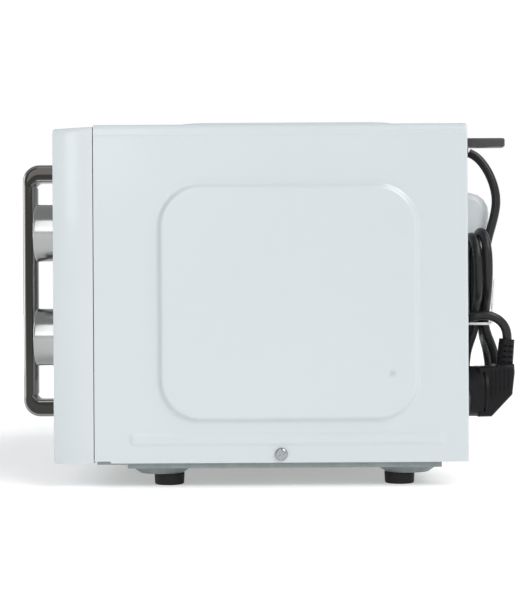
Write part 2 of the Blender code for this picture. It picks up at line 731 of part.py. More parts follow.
def control_panel():
    panel = moulding("control_panel", PANEL_X0, HALF_W, CAB_Z0, HALF_W, 6.0)
    lo = (PANEL_X0 + WALL, FRONT_Y + WALL, CAB_Z0 + WALL)
    hi = (HALF_W - WALL, MOULD_BACK + 10, CAB_Z1 - 6.0)
    inner = box("inner", lo, hi)
    round_edges(inner, lambda m, d: abs(d.y) > 0.9 and m.z > 200 and m.x > 200, 4.0, 2)
    cut(panel, inner)
    for z in KNOB_Z.values():
        cut(panel, cylinder("hole", (KNOB_X, FRONT_Y, z), "Y", 4.0, 20, 16))
        ring = cylinder("dish", (KNOB_X, FRONT_Y - 4.4, z), "Y", 26.0, 10, 40)
        cut(panel, ring)
    finish(panel, "white_plastic")


# Door


def door_frame():
    frame = moulding("door_frame", DOOR_X0, DOOR_X1, CAB_Z0 + 0.6, DOOR_X0, 6.0)
    swing = [(-225, -110), (-225, -120.9), (DOOR_X0, -120.9)]
    swing += arc((DOOR_X0 + 6, -120.9), 6.0, 180, 90, 5) + [(DOOR_X0 + 6, -110)]
    lo = (DOOR_X0 + WALL, FRONT_Y + WALL, CAB_Z0 + 0.6 + WALL)
    inner = box("inner", lo, (DOOR_X1 - WALL, MOULD_BACK + 10, CAB_Z1 - 6.0))
    round_edges(inner, lambda m, d: abs(d.z) > 0.9 and m.y < 0 and m.x < -200, 2.0, 1)
    cut(frame, inner)
    cut(frame, slab("swing", swing, "Z", 0, 280))
    window = slab("window", rounded(64.0, -172.0, 212.0, 58.0, 10.0, 4), "Y", FRONT_Y - 5, FRONT_Y + 10)
    cut(frame, window)
    for z in (CAB_Z0, CAB_Z1 - 4):
        cut(frame, cylinder("bore", (HINGE_X, HINGE_Y, z), "Z", 2.4, 24, 16))
    for z in HANDLE_SCREW_Z.values():
        cut(frame, cylinder("hole", (HANDLE_X, FRONT_Y, z), "Y", 2.3, 12, 16))
    finish(frame, "white_plastic", origin=(HINGE_X, HINGE_Y, 0))


def door_inside():
    pivot = (HINGE_X, HINGE_Y, 0)
    pane = slab("door_glass", rounded(56.0, -180.0, 220.0, 66.0, 6.0, 3), "Y", -140.5, -138.0)
    finish(pane, "dark_glass", origin=pivot)
    choke = box("door_choke", (-208, -137.5, 27), (97, -118, 249))
    cut(choke, box("front", (-189, -145, 46), (78, -119, 230)))
    trough = box("trough", (-207, -136.5, 28), (96, -100, 248))
    keep = box("keep", (-190, -160, 45), (79, -90, 231))
    cut(trough, keep)
    cut(choke, trough)
    finish(choke, "mesh_sheet", origin=pivot)
    cover = slab("choke_cover", rounded(24.5, -210.0, 251.5, 99.0, 4.0, 3), "Y", -117.7, -115.3)
    cut(cover, slab("mouth", rounded(50.0, -185.0, 226.0, 74.0, 6.0, 3), "Y", -130, -100))
    finish(cover, "grey_plastic", origin=pivot)


def handle():
    """A flat bar bent into a loop."""
    base = FRONT_Y - GAP
    front, low, high = HANDLE_FRONT, HANDLE_Z0, HANDLE_Z1
    outer, inner, bar, leg = 13.0, 5.0, 9.3, HANDLE_LEG
    points = [(base, low)]
    points += arc((front + outer, low + outer), outer, 270, 180, 6)
    points += arc((front + outer, high - outer), outer, 180, 90, 6)
    points += [(base, high), (base, high - leg)]
    points += arc((front + bar + inner, high - leg - inner), inner, 90, 180, 4)
    points += arc((front + bar + inner, low + leg + inner), inner, 180, 270, 4)
    points += [(base, low + leg)]
    loop = slab("handle", points, "X", HANDLE_X - HANDLE_W / 2, HANDLE_X + HANDLE_W / 2, 1.4, 1)
    for end, z in HANDLE_SCREW_Z.items():
        cut(loop, cylinder("bore", (HANDLE_X, base, z), "Y", 2.3, 22, 16))
        seat = FRONT_Y + WALL + GAP
        profile = [(0, 2.2), (3.0, 2.0), (4.0, 0.8), (4.0, 0), (2.0, 0), (2.0, -13.0), (0, -13.0)]
        screw = turned(f"handle_screw_{end}", profile, (HANDLE_X, seat, z), "Y", 16)
        finish(screw, "screw_steel", origin=(HINGE_X, HINGE_Y, 0), smooth=True)
    finish(loop, "chrome", origin=(HINGE_X, HINGE_Y, 0), smooth=True)


def latch():
    """The sprung plate in the door with its two hooks, and the bracket and switches they work."""
    plate = box("latch_hooks", (102.5, -136, 48), (104.5, -121, 228))
    for z in (70, 206):
        add(plate, box("arm", (102.5, -124, z - 4), (107.5, -98, z + 4)))
        add(plate, box("nose", (102.5, -103, z - 7), (107.5, -98, z + 2)))
    cut(plate, boxes("gap", [((100, -130, 84), (110, -110, 192))]))
    finish(plate, "white_plastic", origin=(103.5, -128, 138))


def latch_bracket():
    x0, x1 = 98.5, 111.5
    bracket = box("latch_bracket", (x0, SEAM_Y + 1.7, 50), (x1, -78, 226))
    doors = [((101, -130, z - 11), (109.0, -90, z + 11)) for z in (70, 206)]
    cut(bracket, boxes("ways", doors))
    cut(bracket, box("middle", (x0 - 5, -104, 96), (x1 - 3, -84, 180)))
    finish(bracket, "black_plastic")
    places = {"primary_switch": 196, "secondary_switch": 60, "monitor_switch": 160}
    for name, z in places.items():
        unit = box(name, (x1 + GAP, -106, z), (x1 + 10.6, -79, z + 16))
        round_edges(unit, along("X"), 1.2, 1)
        add(unit, boxes("tabs", [((x1 + 4, y, z - 6), (x1 + 7, y + 0.8, z + 1)) for y in (-101, -93, -85)]))
        finish(unit, "black_plastic")


def hinges():
    """Brackets on the front plate, each with the pin that the door turns on."""
    for name, low, z in (("hinge_lower", 1, CAB_Z0 + 1.2), ("hinge_upper", -1, CAB_Z1 - 2.2)):
        pin = cylinder(name, (HINGE_X, HINGE_Y, z + low * 3.0), "Z", 2.0, 12.0, 16)
        finish(pin, "screw_steel")


# Cord and plug


def cord_gland():
    """The bush in the rear panel with its tapered sleeve."""
    profile = [(0, 25.6), (3.6, 25.6), (4.0, 25.0), (5.8, 4.5), (8.5, 4.0), (8.5, 0.3), (6.0, 0.3), (6.0, -1.3)]
    profile += [(8.0, -1.3), (8.0, -4.0), (0, -4.0)]
    gland = turned("cord_gland", profile, (165, PANEL_OUT, GLAND_Z), "Y", 24)
    finish(gland, "black_rubber", smooth=True)


def hank_outline():
    """The outline of the folded cord in (Z, X): a wide loop above the tie and a smaller one below it."""
    points = arc((164.0, 192.0), 21.5, 90, -90, 8)
    points += [(146, 170.6), (128, 170.4), (118, 168.8), (111, 168.8), (103, 158.0), (97, 148.0), (90, 141.6)]
    points += arc((80.0, 159.4), 19.0, 250, 105, 8)
    points += [(92, 178.3), (102, 180.6), (110, 182.9), (118, 182.9), (125, 187.0), (132, 195.0)]
    points += [(141, 204.5), (150, 210.5)]
    return points


def spread(obj):
    """Fans the folded cord out below its tie, with its flat faces split where the fan starts and ends."""
    bm = bmesh.new()
    bm.from_mesh(obj.data)
    for height in (0.108, 0.086):
        geometry = list(bm.verts) + list(bm.edges) + list(bm.faces)
        bmesh.ops.bisect_plane(bm, geom=geometry, plane_co=(0, 0, height), plane_no=(0, 0, 1))
    bm.to_mesh(obj.data)
    bm.free()
    for vertex in obj.data.vertices:
        depth = min(max((0.108 - vertex.co.z) / 0.022, 0.0), 1.0)
        vertex.co.y += (vertex.co.y - 0.162) * 0.62 * depth
    return obj


def cord():
    hank = slab("cord_hank", hank_outline(), "Y", 151.8, 172.2, 3.0, 1)
    finish(spread(hank), "cord_pvc")
    tie = slab("cord_tie", rounded(167.4, 150.2, 184.6, 173.8, 3.0, 3), "Z", 112.0, 117.0)
    cut(tie, slab("hole", rounded(168.4, 151.2, 183.6, 172.8, 2.0, 3), "Z", 100, 130))
    finish(tie, "white_tie")
    knots = [(165, 160.0, 242.0), (165.3, 162.6, 241.2), (166.6, 168.6, 235.8), (168.4, 174.6, 226.0)]
    knots += [(169.9, 178.6, 214.0), (170.4, 179.4, 203.0), (170.9, 176.8, 190.5)]
    finish(tube("cord_lead", smooth_route(knots, 3), CORD_D), "cord_pvc", smooth=True)
    knots = [(197.5, 182.9, 105.2), (197.9, 182.4, 109.6), (199.6, 178.3, 116.4), (200.8, 170.0, 121.0)]
    knots += [(200.0, 160.5, 120.8), (196.0, 151.4, 117.6), (189.5, 145.4, 112.0), (184.6, 143.0, 104.5)]
    finish(tube("cord_tail", smooth_route(knots, 3), CORD_D), "cord_pvc", smooth=True)


def plug():
    """An angled two-pin plug with earth clips, its cord leaving upwards."""
    body = cylinder("plug", (PLUG_X, PLUG_FACE + 6.5, PLUG_Z), "Y", PLUG_R, 13.0, 32)
    outline = [(160, 84.2), (172.3, 84.2), (174, 86.0), (186.0, 86.0), (186.4, 79.8), (184.6, 64.2)]
    outline += [(169.6, 48.4), (160, 48.2)]
    add(body, slab("block", outline, "X", PLUG_X - 13, PLUG_X + 13, 3.0, 1))
    relief = cylinder("relief", (PLUG_X, 0, 7.9), "Z", 6.2, 20.0, 20, 5.6)
    relief.data.transform(Matrix.Translation(Vector((0, 180.6, 86.0)) * MM) @ Matrix.Rotation(-0.1, 4, "X"))
    add(body, relief)
    for side in (-1, 1):
        x = PLUG_X + side * 9.5
        add(body, cylinder("pin", (x, PLUG_FACE - 8.6, PLUG_Z), "Y", 2.4, 18.0, 14))
    finish(body, "black_plastic")


def main():
    clear_scene()
    wrapper()
    base_plate()
    feet()
    rear_panel()
    rear_spacer()
    side_screws()
    cavity()
    front_plate()
    waveguide_side()
    turntable()
    lamp()
    thermal_cutout()
    transformer()
    capacitor()
    fan()
    air_duct()
    filter_board()
    control_unit("power_selector", KNOB_Z["power"], 42)
    control_unit("timer_unit", KNOB_Z["timer"], 50)
    knob("power")
    knob("timer")
    control_panel()
    door_frame()
    door_inside()
    handle()
    latch()
    latch_bracket()
    hinges()
    cord_gland()
    cord()
    plug()


main()
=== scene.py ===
"""Looks of the countertop microwave oven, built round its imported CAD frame.

Metres. The front faces -Y, up is +Z, and +X is the control side.
"""

import json
import math

import bmesh
import bpy
import numpy as np
from mathutils import Matrix, Vector


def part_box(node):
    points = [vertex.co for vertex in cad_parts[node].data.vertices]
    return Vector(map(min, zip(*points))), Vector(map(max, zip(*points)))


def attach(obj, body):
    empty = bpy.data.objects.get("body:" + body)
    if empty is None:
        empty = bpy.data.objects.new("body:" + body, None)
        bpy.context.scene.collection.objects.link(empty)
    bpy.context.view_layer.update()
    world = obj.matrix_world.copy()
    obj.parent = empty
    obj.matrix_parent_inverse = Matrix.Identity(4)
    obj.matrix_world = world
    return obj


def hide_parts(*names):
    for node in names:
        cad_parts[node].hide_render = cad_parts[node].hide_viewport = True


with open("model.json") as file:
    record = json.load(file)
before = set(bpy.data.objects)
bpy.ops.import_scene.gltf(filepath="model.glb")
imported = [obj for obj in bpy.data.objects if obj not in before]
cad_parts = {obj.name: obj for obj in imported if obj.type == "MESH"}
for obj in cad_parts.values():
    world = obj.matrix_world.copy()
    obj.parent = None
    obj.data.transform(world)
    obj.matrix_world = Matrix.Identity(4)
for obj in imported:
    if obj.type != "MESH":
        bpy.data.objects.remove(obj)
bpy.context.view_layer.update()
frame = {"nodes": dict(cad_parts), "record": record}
NODES = frame["nodes"]
MM = 0.001

FRONT_Y = -143.3
SEAM_Y = -114.3
REAR_Y = 151.7
HALF_W = 220.0
CORD_D = 6.6
KNOBS = {"power": 183.6, "timer": 106.3}
KNOB_X = 167.0
PLUG_X, PLUG_Z = 197.5, 66.2
GLAND = (165.0, 133.7, 242.0)
SCREW = (0.0, 18.3, 23.6)
HANDLE_BAR, HANDLE_LEG = 9.3, 13.2
HANDLE_OUTER_R, HANDLE_INNER_R = 13.0, 5.0
CAMERA = (1.270, 0.0076, 0.133)
SMUDGE = (0.223, 0.0975, 0.0805)


# Camera, floor and light


def camera():
    data = bpy.data.cameras.new("camera")
    data.sensor_fit = "HORIZONTAL"
    data.sensor_width = 36.0
    data.lens = 100.3
    data.clip_end = 100
    obj = bpy.data.objects.new("camera", data)
    aim = Matrix.Rotation(math.radians(90), 4, "Z") @ Matrix.Rotation(math.radians(90), 4, "X")
    obj.matrix_world = Matrix.Translation(CAMERA) @ aim @ Matrix.Rotation(-0.0056, 4, "Z")
    bpy.context.scene.collection.objects.link(obj)
    bpy.context.scene.camera = obj


def light(name, kind, place, target, energy, size):
    data = bpy.data.lights.new(name, kind)
    data.energy = energy
    if kind == "SUN":
        data.angle = math.radians(size)
    else:
        data.shape = "RECTANGLE"
        data.size, data.size_y = size
    obj = bpy.data.objects.new(name, data)
    obj.location = place
    obj.rotation_euler = (Vector(target) - Vector(place)).to_track_quat("-Z", "Y").to_euler()
    bpy.context.scene.collection.objects.link(obj)


def studio():
    scene = bpy.context.scene
    scene.view_settings.view_transform = "Standard"
    world = bpy.data.worlds.new("studio")
    scene.world = world
    world.use_nodes = True
    nodes, links = world.node_tree.nodes, world.node_tree.links
    split = nodes.new("ShaderNodeSeparateXYZ")
    links.new(nodes.new("ShaderNodeTexCoord").outputs["Generated"], split.inputs[0])
    ramp = nodes.new("ShaderNodeValToRGB")
    links.new(split.outputs["Z"], ramp.inputs[0])
    stops = ramp.color_ramp.elements
    stops[0].position, stops[0].color = 0.20, (1.0, 1.0, 1.0, 1.0)
    stops[1].position, stops[1].color = 0.48, (0.44, 0.45, 0.46, 1.0)
    links.new(ramp.outputs[0], nodes["Background"].inputs["Color"])
    light("sun", "SUN", (1.0, 0.9, 1.2), (0, 0, 0), 1.55, 34)
    light("top", "SUN", (0.0, 0.6, 1.0), (0, 0, 0), 0.75, 30)
    light("behind", "AREA", (2.0, -0.46, 1.15), (0.17, -0.15, 0.145), 6.0, (0.5, 1.7))
    light("strip", "AREA", (-0.1, -1.8, 0.5), (0, 0, 0.13), 6.0, (0.3, 1.1))
    bpy.ops.mesh.primitive_circle_add(vertices=96, radius=14, fill_type="NGON")
    floor = bpy.context.object
    floor.name = "floor"
    floor.data.materials.append(material("floor", (0.78, 0.78, 0.78), rough=0.65, tint=(4, 0.01),
                                         Emission_Color=(1.0, 1.0, 1.0, 1.0), Emission_Strength=0.34))


# Materials


class Nodes:
    """Short names for the nodes of one material."""

    def __init__(self, tree):
        self.tree = tree
        self.coord = tree.nodes.new("ShaderNodeTexCoord").outputs["Object"]

    def put(self, socket, value):
        if isinstance(value, bpy.types.NodeSocket):
            self.tree.links.new(value, socket)
        elif value is not None:
            socket.default_value = value

    def math(self, operation, a, b=None, c=None):
        node = self.tree.nodes.new("ShaderNodeMath")
        node.operation = operation
        for socket, value in zip(node.inputs, (a, b, c)):
            self.put(socket, value)
        return node.outputs[0]

    def scaled(self, factors):
        node = self.tree.nodes.new("ShaderNodeVectorMath")
        node.operation = "MULTIPLY"
        self.put(node.inputs[0], self.coord)
        node.inputs[1].default_value = factors
        return node.outputs[0]

    def noise(self, scale, detail=2.0, stretch=None):
        node = self.tree.nodes.new("ShaderNodeTexNoise")
        node.inputs["Scale"].default_value = scale
        node.inputs["Detail"].default_value = detail
        self.put(node.inputs["Vector"], self.scaled(stretch) if stretch else self.coord)
        return node.outputs["Fac"]

    def cells(self, scale, stretch=None):
        node = self.tree.nodes.new("ShaderNodeTexVoronoi")
        node.inputs["Scale"].default_value = scale
        self.put(node.inputs["Vector"], self.scaled(stretch) if stretch else self.coord)
        return node.outputs["Distance"]

    def spread(self, value, low, high, start=0.25, end=0.75):
        node = self.tree.nodes.new("ShaderNodeMapRange")
        for socket, number in zip(node.inputs, (value, start, end, low, high)):
            self.put(socket, number)
        return node.outputs["Result"]

    def mixed(self, factor, a, b):
        node = self.tree.nodes.new("ShaderNodeMix")
        node.data_type = "RGBA"
        self.put(node.inputs[0], factor)
        self.put(node.inputs[6], (*a, 1.0) if isinstance(a, tuple) else a)
        self.put(node.inputs[7], (*b, 1.0) if isinstance(b, tuple) else b)
        return node.outputs[2]

    def bump(self, height, distance, normal=None):
        node = self.tree.nodes.new("ShaderNodeBump")
        node.inputs["Strength"].default_value = 1.0
        self.put(node.inputs["Distance"], distance)
        self.put(node.inputs["Height"], height)
        self.put(node.inputs["Normal"], normal)
        return node.outputs["Normal"]


MADE = {}


def material(name, color, metallic=0.0, rough=0.4, tint=(30, 0.03), gloss=(25, 0.04), bumps=(), stretch=None,
             edit=None, **sockets):
    """A principled material with mottled colour, uneven gloss and fine relief.

    tint and gloss are (noise scale per metre, amount); each bump is (kind, scale, height in mm).
    """
    if name in MADE:
        return MADE[name]
    made = bpy.data.materials.new(name)
    made.use_nodes = True
    shader = made.node_tree.nodes["Principled BSDF"]
    n = Nodes(made.node_tree)
    dark = tuple(c * (1 - tint[1]) for c in color)
    pale = tuple(min(c * (1 + tint[1]), 1.0) for c in color)
    mottle = n.spread(n.noise(tint[0], 4.0, stretch), 0.0, 1.0, 0.1, 0.9)
    n.put(shader.inputs["Base Color"], n.mixed(mottle, dark, pale))
    shader.inputs["Metallic"].default_value = metallic
    low, high = max(rough - gloss[1], 0.02), min(rough + gloss[1], 1.0)
    n.put(shader.inputs["Roughness"], n.spread(n.noise(gloss[0], 3.0, stretch), low, high, 0.1, 0.9))
    normal = None
    for kind, scale, height in bumps:
        field = n.cells(scale, stretch=stretch) if kind == "cells" else n.noise(scale, 2.0, stretch)
        normal = n.bump(field, height * MM, normal)
    n.put(shader.inputs["Normal"], normal)
    for key, value in sockets.items():
        shader.inputs[key.replace("_", " ")].default_value = value
    if edit:
        edit(n, shader)
    MADE[name] = made
    return made


def perforated(n, shader):
    """A staggered grid of small clear holes in the dark print on the glass."""
    split = n.tree.nodes.new("ShaderNodeSeparateXYZ")
    n.put(split.inputs[0], n.scaled((1 / 0.0021, 1, 1 / 0.0021)))
    least = None
    for shift in (0.0, 0.5):
        across = n.math("ADD", split.outputs["X"], shift)
        up = n.math("ADD", n.math("DIVIDE", split.outputs["Z"], 1.732), shift)
        a = n.math("SUBTRACT", n.math("FRACT", across), 0.5)
        b = n.math("MULTIPLY", n.math("SUBTRACT", n.math("FRACT", up), 0.5), 1.732)
        far = n.math("SQRT", n.math("ADD", n.math("MULTIPLY", a, a), n.math("MULTIPLY", b, b)))
        least = far if least is None else n.math("MINIMUM", least, far)
    hole = n.spread(least, 1.0, 0.0, 0.30, 0.36)
    n.put(shader.inputs["Transmission Weight"], n.math("MULTIPLY", hole, 0.9))
    n.put(shader.inputs["Base Color"], n.mixed(hole, (0.012, 0.012, 0.014), (0.32, 0.34, 0.35)))


def spangled(n, shader):
    """The pale crystals of hot-dipped zinc."""
    cells = n.cells(160)
    n.put(shader.inputs["Base Color"], n.mixed(n.spread(cells, 0.0, 1.0, 0.1, 0.8), (0.185, 0.215, 0.213),
                                               (0.22, 0.25, 0.248)))


def painted(n, shader):
    """White enamel with one faint smudge on the control side."""
    offset = n.tree.nodes.new("ShaderNodeVectorMath")
    offset.operation = "DISTANCE"
    n.put(offset.inputs[0], n.coord)
    offset.inputs[1].default_value = SMUDGE
    near = n.spread(offset.outputs["Value"], 1.0, 0.0, 0.0008, 0.0034)
    mark = n.math("MULTIPLY", n.math("MULTIPLY", near, n.spread(n.noise(700, 2.0), 0.0, 1.0, 0.2, 0.5)), 0.75)
    base = shader.inputs["Base Color"].links[0].from_socket
    n.put(shader.inputs["Base Color"], n.mixed(mark, base, (0.36, 0.38, 0.39)))


def edge_lit(n, shader):
    """Painted light on the bar: dark painted shade on the flats along its sides and a painted highlight round
    its edges and on its front, chosen by the surface normal.
    """
    split = n.tree.nodes.new("ShaderNodeSeparateXYZ")
    n.put(split.inputs[0], n.tree.nodes["Texture Coordinate"].outputs["Normal"])
    flat = n.spread(n.math("ABSOLUTE", split.outputs["X"]), 0.0, 1.0, 0.88, 0.97)
    base = shader.inputs["Base Color"].links[0].from_socket
    # Pale painted highlight wherever the normal turns away from the sides; the side flats keep the dark
    # chrome as painted shade.
    n.put(shader.inputs["Base Color"], n.mixed(flat, (0.34, 0.335, 0.325), base))


ORANGE_PEEL = (("noise", 330, 0.010), ("noise", 1500, 0.002))
PAINT = dict(color=(0.500, 0.541, 0.556), rough=0.30, tint=(9, 0.010), gloss=(14, 0.05), bumps=ORANGE_PEEL,
             Coat_Weight=0.35, Coat_Roughness=0.12)
SLOTS = {
    "white_paint": dict(PAINT, edit=painted),
    "white_plastic": dict(color=(0.503, 0.541, 0.554), rough=0.24, tint=(12, 0.008), gloss=(20, 0.04),
                          bumps=(("noise", 700, 0.003),), Coat_Weight=0.2),
    # A lighter copy of the white paint for the rear panel: painted light that brightens the shaded bulge.
    "rear_paint_lightened": dict(color=(0.60, 0.632, 0.643), rough=0.34, tint=(9, 0.010), gloss=(14, 0.05),
                       bumps=ORANGE_PEEL),
    "zinc_sheet": dict(color=(0.20, 0.235, 0.233), metallic=0.55, rough=0.42, gloss=(60, 0.08),
                       bumps=(("noise", 500, 0.004),), edit=spangled),
    # Dark chrome of the handle; its edit paints pale rims and front on it as painted highlights.
    "chrome": dict(color=(0.043, 0.042, 0.039), metallic=1.0, rough=0.06, tint=(15, 0.10), gloss=(30, 0.04),
                   bumps=(("noise", 60, 0.010),), Specular_Tint=(0.35, 0.35, 0.35, 1.0), edit=edge_lit),
    "knob_chrome": dict(color=(0.355, 0.36, 0.355), metallic=1.0, rough=0.17, tint=(40, 0.10),
                        gloss=(90, 0.06), bumps=(("noise", 110, 0.020),)),
    "dark_glass": dict(color=(0.02, 0.02, 0.022), rough=0.05, tint=(8, 0.1), gloss=(6, 0.02), edit=perforated,
                       IOR=1.5),
    "mesh_sheet": dict(color=(0.10, 0.10, 0.11), metallic=0.3, rough=0.42, bumps=ORANGE_PEEL),
    "grey_plastic": dict(color=(0.030, 0.030, 0.032), rough=0.40, bumps=(("noise", 1200, 0.010),)),
    "black_plastic": dict(color=(0.008, 0.008, 0.009), rough=0.36, tint=(50, 0.15), gloss=(70, 0.08),
                          bumps=(("noise", 1400, 0.012),), Specular_IOR_Level=0.13),
    "black_rubber": dict(color=(0.007, 0.0065, 0.0065), rough=0.62, tint=(90, 0.3),
                         bumps=(("noise", 900, 0.03),), Specular_IOR_Level=0.3),
    "clear_glass": dict(color=(0.92, 0.97, 0.96), rough=0.03, tint=(5, 0.01), gloss=(8, 0.02), IOR=1.5,
                        Transmission_Weight=1.0, bumps=(("noise", 40, 0.02),)),
    "mica": dict(color=(0.56, 0.51, 0.42), rough=0.6, tint=(160, 0.2), bumps=(("cells", 260, 0.03),)),
    "core_steel": dict(color=(0.24, 0.24, 0.26), metallic=0.8, rough=0.5, tint=(200, 0.3),
                       stretch=(0.05, 0.05, 8.0), bumps=(("noise", 240, 0.06),)),
    "aluminium": dict(color=(0.66, 0.67, 0.69), metallic=1.0, rough=0.34, tint=(90, 0.06), gloss=(70, 0.08),
                      bumps=(("noise", 500, 0.006),)),
    "green_board": dict(color=(0.04, 0.19, 0.08), rough=0.4, tint=(180, 0.25), bumps=(("cells", 420, 0.03),)),
    "screw_steel": dict(color=(0.66, 0.68, 0.70), metallic=1.0, rough=0.24, tint=(400, 0.12),
                        gloss=(300, 0.10), bumps=(("noise", 900, 0.006),)),
    "dull_steel": dict(color=(0.34, 0.36, 0.37), metallic=1.0, rough=0.22, tint=(400, 0.12),
                       gloss=(300, 0.10), bumps=(("noise", 900, 0.006),)),
    "cord_pvc": dict(color=(0.014, 0.014, 0.015), rough=0.30, tint=(70, 0.14), gloss=(60, 0.07),
                     bumps=(("noise", 260, 0.030), ("noise", 1500, 0.010)), Specular_IOR_Level=0.27),
    "white_tie": dict(color=(0.82, 0.82, 0.80), rough=0.5, tint=(200, 0.05), bumps=(("noise", 900, 0.03),)),
    "enamel": dict(color=(0.62, 0.64, 0.64), rough=0.30, tint=(260, 0.10), gloss=(30, 0.05),
                   bumps=ORANGE_PEEL, Coat_Weight=0.3),
    "print": dict(color=(0.14, 0.145, 0.15), rough=0.5, tint=(300, 0.2), bumps=(("noise", 1500, 0.005),)),
    "amber_coil": dict(color=(0.42, 0.20, 0.07), rough=0.35, tint=(220, 0.2), stretch=(1.0, 1.0, 6.0),
                       bumps=(("noise", 300, 0.1),), Coat_Weight=0.4),
}


def slot_material(name):
    return material(name, **SLOTS[name])


# Mesh helpers


def obj_from(name, verts, faces):
    mesh = bpy.data.meshes.new(name)
    mesh.from_pydata([tuple(v) for v in verts], [], faces)
    mesh.validate()
    obj = bpy.data.objects.new(name, mesh)
    bpy.context.scene.collection.objects.link(obj)
    return obj


def shade(obj, angle=32):
    """Smooth shading with the sharp edges kept."""
    bm = bmesh.new()
    bm.from_mesh(obj.data)
    limit = math.radians(angle)
    for face in bm.faces:
        face.smooth = True
    for edge in bm.edges:
        edge.smooth = not (len(edge.link_faces) == 2 and edge.calc_face_angle(0) > limit)
    bm.to_mesh(obj.data)
    bm.free()
    return obj


def outward(obj):
    bm = bmesh.new()
    bm.from_mesh(obj.data)
    bmesh.ops.recalc_face_normals(bm, faces=bm.faces)
    bm.to_mesh(obj.data)
    bm.free()
    return obj


def dress(obj, look, body, slot, *nodes):
    """Gives a piece its material and body, and hides the CAD nodes that it stands for; the slot argument is
    not used.
    """
    obj.data.materials.clear()
    obj.data.materials.append(slot_material(look))
    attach(obj, body)
    if nodes:
        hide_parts(*nodes)
    return obj


def copied(node, name=None):
    """A welded copy of a CAD node, with its flat faces whole again."""
    obj = bpy.data.objects.new(name or "fine_" + node, NODES[node].data.copy())
    bpy.context.scene.collection.objects.link(obj)
    bm = bmesh.new()
    bm.from_mesh(obj.data)
    bmesh.ops.remove_doubles(bm, verts=bm.verts, dist=2e-6)
    bmesh.ops.dissolve_limit(bm, angle_limit=math.radians(0.3), verts=bm.verts, edges=bm.edges)
    bm.to_mesh(obj.data)
    bm.free()
    return obj


def baked(obj):
    """Applies a piece's modifiers."""
    graph = bpy.context.evaluated_depsgraph_get()
    mesh = bpy.data.meshes.new_from_object(obj.evaluated_get(graph))
    obj.modifiers.clear()
    obj.data = mesh
    return obj


def bevelled(obj, width, segments=2, angle=30):
    mod = obj.modifiers.new("edges", "BEVEL")
    mod.width = width * MM
    mod.segments = segments
    mod.limit_method = "ANGLE"
    mod.angle_limit = math.radians(angle)
    mod.use_clamp_overlap = True
    return baked(obj)


def cut(obj, cutter):
    mod = obj.modifiers.new("cut", "BOOLEAN")
    mod.operation = "DIFFERENCE"
    mod.solver = "EXACT"
    mod.object = cutter
    baked(obj)
    bpy.data.objects.remove(cutter, do_unlink=True)
    return obj


def block(name, low, high):
    xs, ys, zs = zip(low, high)
    verts = [(x * MM, y * MM, z * MM) for x in xs for y in ys for z in zs]
    faces = [(0, 1, 3, 2), (4, 6, 7, 5), (0, 4, 5, 1), (2, 3, 7, 6), (0, 2, 6, 4), (1, 5, 7, 3)]
    return outward(obj_from(name, verts, faces))


def lathe(name, profile, centre, axis, steps=64):
    """A closed profile of (radius, height) turned round an axis through centre, in mm."""
    verts, faces, rows = [], [], []
    for r, h in profile:
        if r < 1e-6:
            rows.append([len(verts)] * steps)
            verts.append((0.0, 0.0, h))
        else:
            rows.append(list(range(len(verts), len(verts) + steps)))
            for i in range(steps):
                a = 2 * math.pi * i / steps
                verts.append((r * math.cos(a), r * math.sin(a), h))
    for a, b in zip(rows, rows[1:]):
        for i in range(steps):
            j = (i + 1) % steps
            quad = [a[i], a[j], b[j], b[i]]
            face = [v for k, v in enumerate(quad) if v not in quad[:k]]
            if len(face) > 2:
                faces.append(face)
    turn = {"Z": Matrix.Identity(4), "X": Matrix.Rotation(math.pi / 2, 4, "Y"),
            "Y": Matrix.Rotation(-math.pi / 2, 4, "X")}[axis]
    place = Matrix.Translation(Vector(centre) * MM) @ turn @ Matrix.Scale(MM, 4)
    return outward(obj_from(name, [place @ Vector(v) for v in verts], faces))


def rounded(r, a0, b0, a1, b1, steps=5):
    points = []
    for (a, b), start in (((a1 - r, b0 + r), -90), ((a1 - r, b1 - r), 0), ((a0 + r, b1 - r), 90),
                          ((a0 + r, b0 + r), 180)):
        for i in range(steps + 1):
            t = math.radians(start + 90 * i / steps)
            points.append((a + r * math.cos(t), b + r * math.sin(t)))
    return points


def loft(name, rings, closed=False):
    """Skins equal rings of points, with caps at both ends unless closed."""
    n = len(rings[0])
    verts = [p for ring in rings for p in ring]
    faces = []
    count = len(rings)
    for k in range(count if closed else count - 1):
        for i in range(n):
            j = (i + 1) % n
            m = (k + 1) % count
            faces.append((k * n + i, k * n + j, m * n + j, m * n + i))
    if not closed:
        faces += [tuple(range(n)), tuple(range((count - 1) * n, count * n))]
    return outward(obj_from(name, [Vector(v) * MM for v in verts], faces))


def joined(name, pieces):
    bm = bmesh.new()
    for piece in pieces:
        bm.from_mesh(piece.data)
        bpy.data.objects.remove(piece, do_unlink=True)
    mesh = bpy.data.meshes.new(name)
    bm.to_mesh(mesh)
    bm.free()
    obj = bpy.data.objects.new(name, mesh)
    bpy.context.scene.collection.objects.link(obj)
    return obj


# Cord and plug


def smooth(knots, each, passes):
    """A curve through the knots, evenly spaced and then relaxed with its ends held."""
    p = np.array([knots[0]] + list(knots) + [knots[-1]], float)
    out = []
    for i in range(1, len(p) - 2):
        for k in range(each):
            t = k / each
            a, b, c, d = p[i - 1:i + 3]
            out.append(0.5 * (2 * b + (c - a) * t + (2 * a - 5 * b + 4 * c - d) * t**2
                              + (3 * b - a - 3 * c + d) * t**3))
    out.append(p[-2])
    line = np.array(out)
    far = np.concatenate([[0], np.cumsum(np.linalg.norm(np.diff(line, axis=0), axis=1))])
    marks = np.linspace(0, far[-1], int(far[-1] / 2.0))
    line = np.stack([np.interp(marks, far, line[:, i]) for i in range(3)], 1)
    for _ in range(passes):
        line[1:-1] += 0.5 * (0.5 * (line[:-2] + line[2:]) - line[1:-1])
    return line


